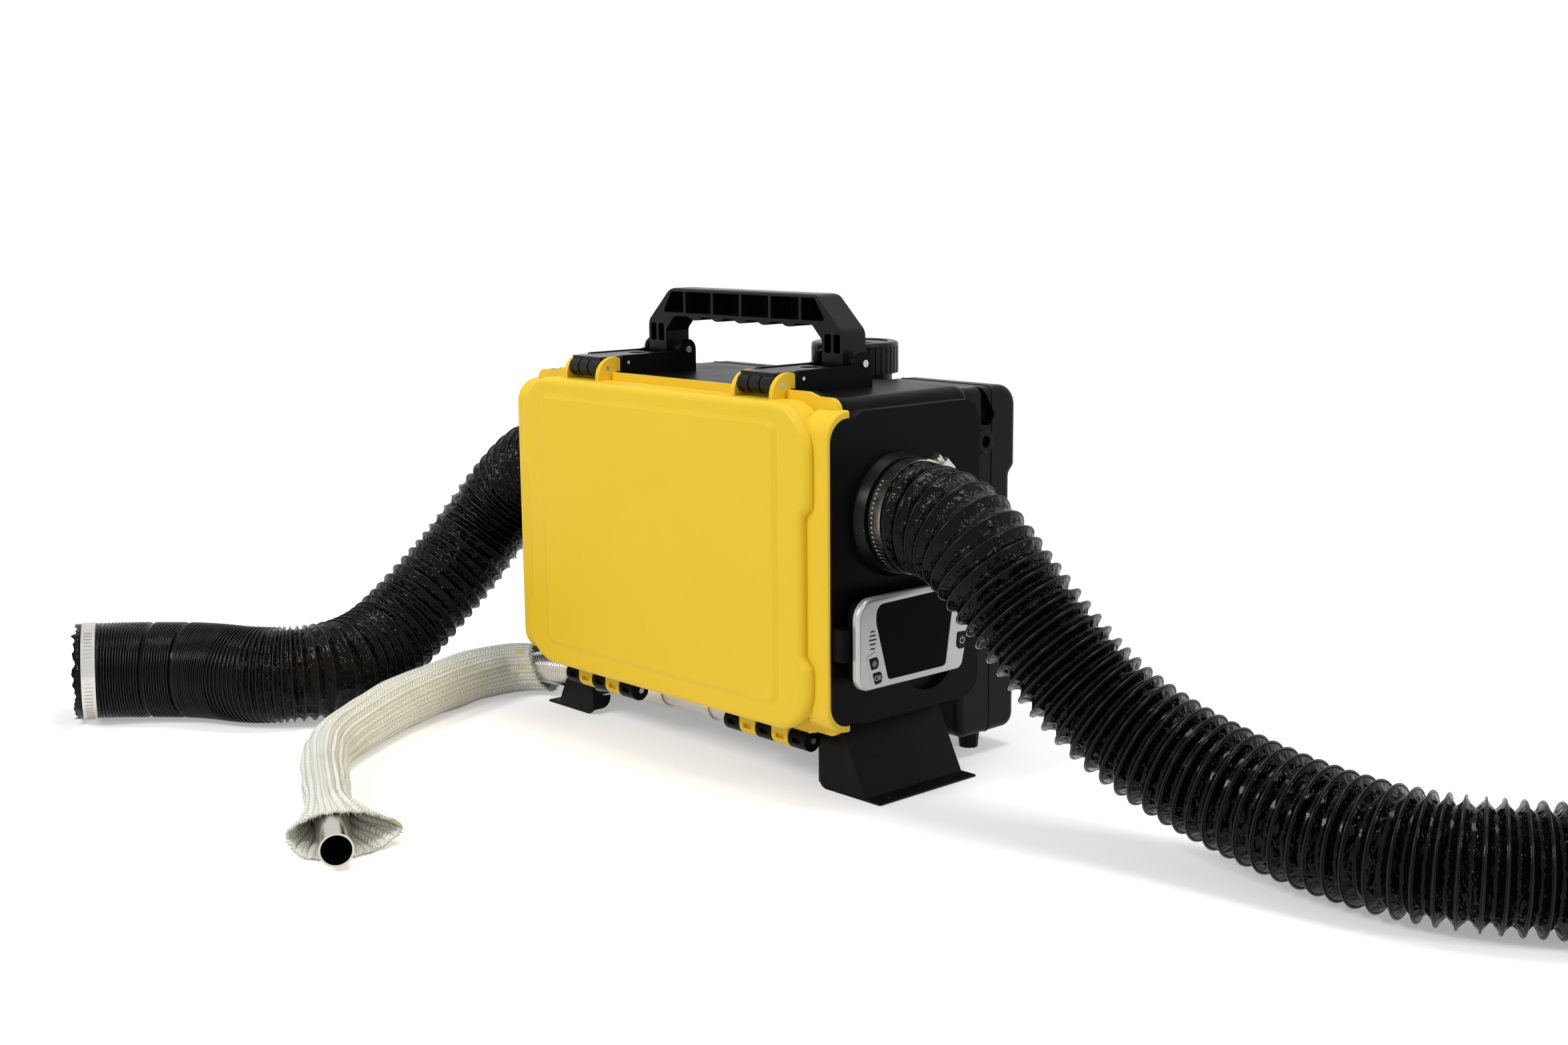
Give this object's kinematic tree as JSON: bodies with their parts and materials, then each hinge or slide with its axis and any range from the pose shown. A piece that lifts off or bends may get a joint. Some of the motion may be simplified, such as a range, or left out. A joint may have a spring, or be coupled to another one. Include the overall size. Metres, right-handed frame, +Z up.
{
  "type": "diesel air heater",
  "caption": "Portable hard-case diesel air heater on sheet feet, with hinged lid, latches, fold-down handle, rear fuel tank, ribbed air ducts and sleeved exhaust.",
  "frame": {"origin": "on the ground, under the middle of the object without its hoses", "axes": "+X to the object's right (outlet side), +Y to the back (tank side), +Z up"},
  "size_m": [1.2759, 0.6007, 0.3905],
  "materials": {
    "black_case": "satin",
    "yellow_lid": "semi-matte moulded",
    "rubber": "matte",
    "steel": "plain",
    "black_gloss": "glossy",
    "duct_film": "crinkled film over spring wire",
    "glass_braid": "braided glass fibre",
    "black_sheet": "powder coat",
    "silver_bezel": "satin silver",
    "screen_glass": "polished",
    "cast_aluminium": "as cast",
    "board": "solder mask",
    "clear_plastic": "translucent",
    "button_rubber": "soft",
    "bright_steel": "polished"
  },
  "bodies": {
    "case": {"blower_motor": "steel", "burner_tube": "steel", "cable_grommet": "rubber", "case_base": "black_case", "catch_pins": "steel", "clamp_free": "bright_steel", "clamp_inlet": "bright_steel", "clamp_outlet": "bright_steel", "control_board": "board", "controller_bezel": "silver_bezel", "controller_cradle": "black_case", "controller_screen": "screen_glass", "controller_shell": "black_case", "exhaust_flex": "steel", "exhaust_pipe": "steel", "exhaust_sleeve": "glass_braid", "exhaust_strap": "steel", "floor_gasket": "rubber", "foot_left": "black_sheet", "foot_right": "black_sheet", "foot_screws": "steel", "fuel_filter": "clear_plastic", "fuel_line": "rubber", "fuel_pump": "steel", "fuel_tank": "black_case", "glow_plug": "steel", "handle_pins": "steel", "heat_exchanger": "cast_aluminium", "heater_lower_shell": "black_case", "heater_stand": "steel", "heater_upper_shell": "black_case", "hinge_pins": "steel", "inlet_collar": "black_case", "intake_pipe": "steel", "lid_seal": "rubber", "outlet_collar": "black_case", "pump_mount": "rubber", "return_air_duct": "duct_film", "tail_pipe": "steel", "tank_studs": "steel", "warm_air_duct": "duct_film"},
    "lid": {"lid_cover": "yellow_lid", "latch_pins": "steel"},
    "latch_left": {"latch_left": "black_gloss"},
    "latch_right": {"latch_right": "black_gloss"},
    "handle": {"handle": "black_gloss"},
    "cap_lift": {"cap_gasket": "rubber"},
    "filler_cap": {"filler_cap": "black_case"},
    "button_settings": {"button_settings": "button_rubber"},
    "button_ok": {"button_ok": "button_rubber"},
    "button_power": {"button_power": "button_rubber"},
    "blower": {"blower_shaft": "steel", "air_fan": "black_case", "combustion_rotor": "cast_aluminium"},
    "worm_outlet": {"clamp_worm_outlet": "bright_steel"},
    "worm_inlet": {"clamp_worm_inlet": "bright_steel"},
    "worm_free": {"clamp_worm_free": "bright_steel"}
  },
  "joints": [
    {"name": "lid_hinge", "type": "hinge", "parent": "case", "child": "lid", "pos_m": [0, -0.0935, 0.043], "axis": [1, 0, 0], "range_deg": [0, 75]},
    {"name": "latch_left_turn", "type": "hinge", "parent": "lid", "child": "latch_left", "pos_m": [-0.1108, -0.102, 0.3245], "axis": [1, 0, 0], "range_deg": [0, 110]},
    {"name": "latch_right_turn", "type": "hinge", "parent": "lid", "child": "latch_right", "pos_m": [0.1108, -0.102, 0.3245], "axis": [1, 0, 0], "range_deg": [0, 110]},
    {"name": "handle_fold", "type": "hinge", "parent": "case", "child": "handle", "pos_m": [0, -0.0125, 0.336], "axis": [1, 0, 0], "range_deg": [-90, 0]},
    {"name": "cap_rise", "type": "slide", "parent": "case", "child": "cap_lift", "axis": [0, 0, 1], "range_m": [0, 0.018]},
    {"name": "cap_turn", "type": "hinge", "parent": "cap_lift", "child": "filler_cap", "pos_m": [0.02, 0.0915, 0.327], "axis": [0, 0, 1], "range_deg": [0, 540]},
    {"name": "blower_spin", "type": "hinge", "parent": "case", "child": "blower", "pos_m": [-0.09, -0.0435, 0.225], "axis": [1, 0, 0], "continuous": true},
    {"name": "press_settings", "type": "slide", "parent": "case", "child": "button_settings", "axis": [-1, 0, 0], "range_m": [0, 0.001], "stiffness_N_per_m": 400},
    {"name": "press_ok", "type": "slide", "parent": "case", "child": "button_ok", "axis": [-1, 0, 0], "range_m": [0, 0.001], "stiffness_N_per_m": 400},
    {"name": "press_power", "type": "slide", "parent": "case", "child": "button_power", "axis": [-1, 0, 0], "range_m": [0, 0.001], "stiffness_N_per_m": 400},
    {"name": "worm_outlet_turn", "type": "hinge", "parent": "case", "child": "worm_outlet", "pos_m": [0.221, -0.01071, 0.26141], "axis": [0, -0.7431, 0.6691], "continuous": true},
    {"name": "worm_inlet_turn", "type": "hinge", "parent": "case", "child": "worm_inlet", "pos_m": [-0.221, -0.01071, 0.26141], "axis": [0, 0.7431, -0.6691], "continuous": true},
    {"name": "worm_free_turn", "type": "hinge", "parent": "case", "child": "worm_free", "pos_m": [-0.50327, -0.39768, 0.02719], "axis": [0.3253, -0.1875, -0.9268], "continuous": true}
  ],
  "couplings": [
    {"joint": "cap_rise", "follows": "cap_turn", "m_per_rad": 0.0019099}
  ]
}
